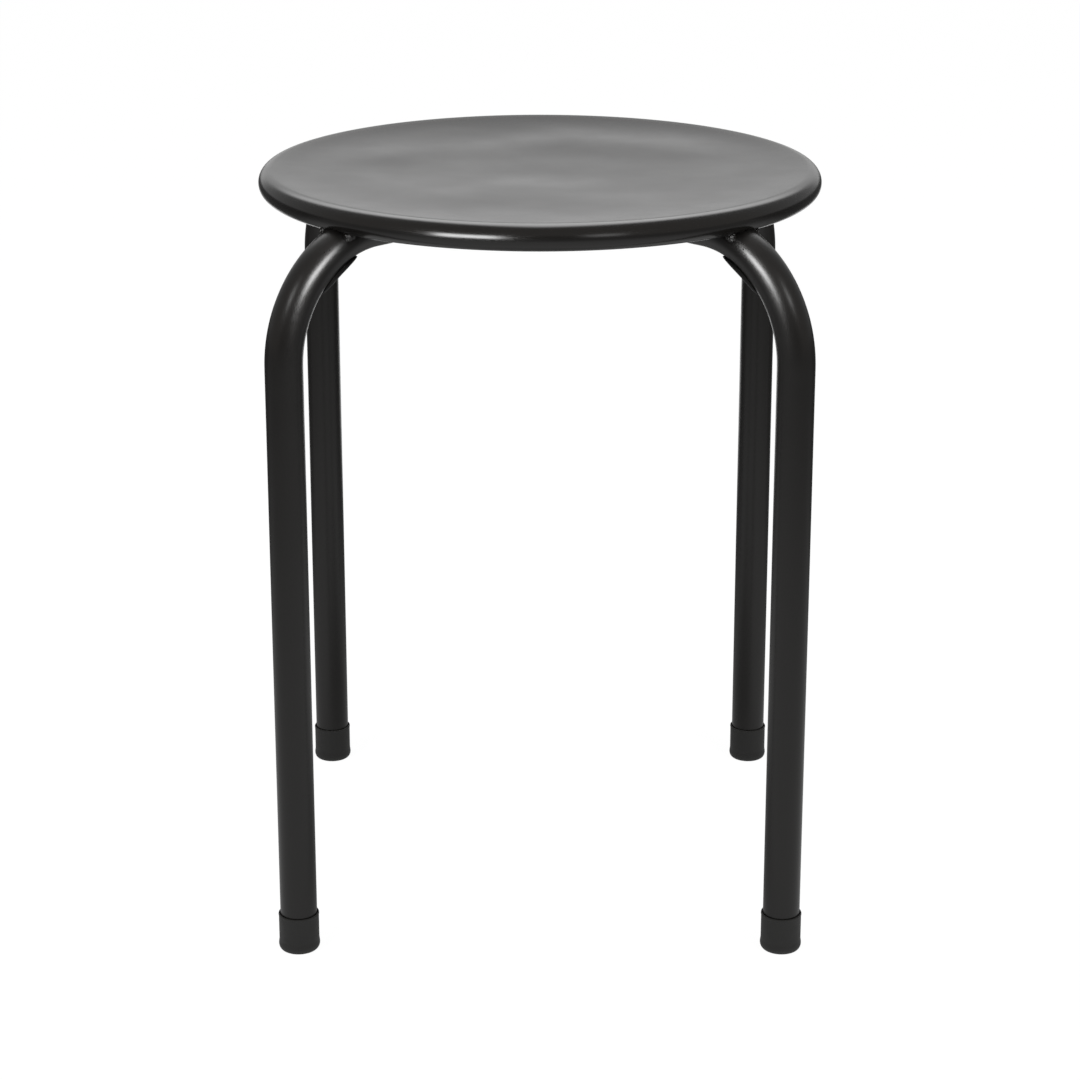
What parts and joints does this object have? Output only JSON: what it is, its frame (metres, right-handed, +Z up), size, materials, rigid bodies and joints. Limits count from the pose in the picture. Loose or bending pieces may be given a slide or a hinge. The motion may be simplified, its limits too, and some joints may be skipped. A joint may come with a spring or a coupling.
{
  "type": "stacking stool",
  "caption": "Round stacking stool: dished steel seat with a rolled rim on crossed upside-down U tubes, with foot caps and stacking bumpers.",
  "frame": {"origin": "on the floor, under the middle of the seat", "axes": "+Z up; the front is -Y, +X is the viewer's right; the legs stand on the diagonals"},
  "size_m": [0.34, 0.34, 0.45],
  "materials": {
    "powder_coat_seat": "satin black powder coat on pressed sheet steel, smooth and slightly wavy",
    "powder_coat_tube": "satin black powder coat on steel tube",
    "coated_weld": "satin black powder coat over rough weld beads",
    "foot_cap": "matt black soft plastic, moulded",
    "bumper": "matt black plastic, moulded"
  },
  "bodies": {
    "root": {"seat_pan": "powder_coat_seat", "leg_tube_front_left_to_back_right": "powder_coat_tube", "leg_tube_front_right_to_back_left": "powder_coat_tube", "crossing_weld_front": "coated_weld", "crossing_weld_right": "coated_weld", "crossing_weld_back": "coated_weld", "crossing_weld_left": "coated_weld", "rim_weld_front_left_on_front": "coated_weld", "rim_weld_front_left_on_left": "coated_weld", "rim_weld_front_right_on_front": "coated_weld", "rim_weld_front_right_on_right": "coated_weld", "rim_weld_back_left_on_back": "coated_weld", "rim_weld_back_left_on_left": "coated_weld", "rim_weld_back_right_on_back": "coated_weld", "rim_weld_back_right_on_right": "coated_weld", "foot_cap_front_left": "foot_cap", "foot_cap_front_right": "foot_cap", "foot_cap_back_left": "foot_cap", "foot_cap_back_right": "foot_cap", "stacking_bumper_front_left": "bumper", "stacking_bumper_front_right": "bumper", "stacking_bumper_back_left": "bumper", "stacking_bumper_back_right": "bumper"}
  },
  "joints": []
}
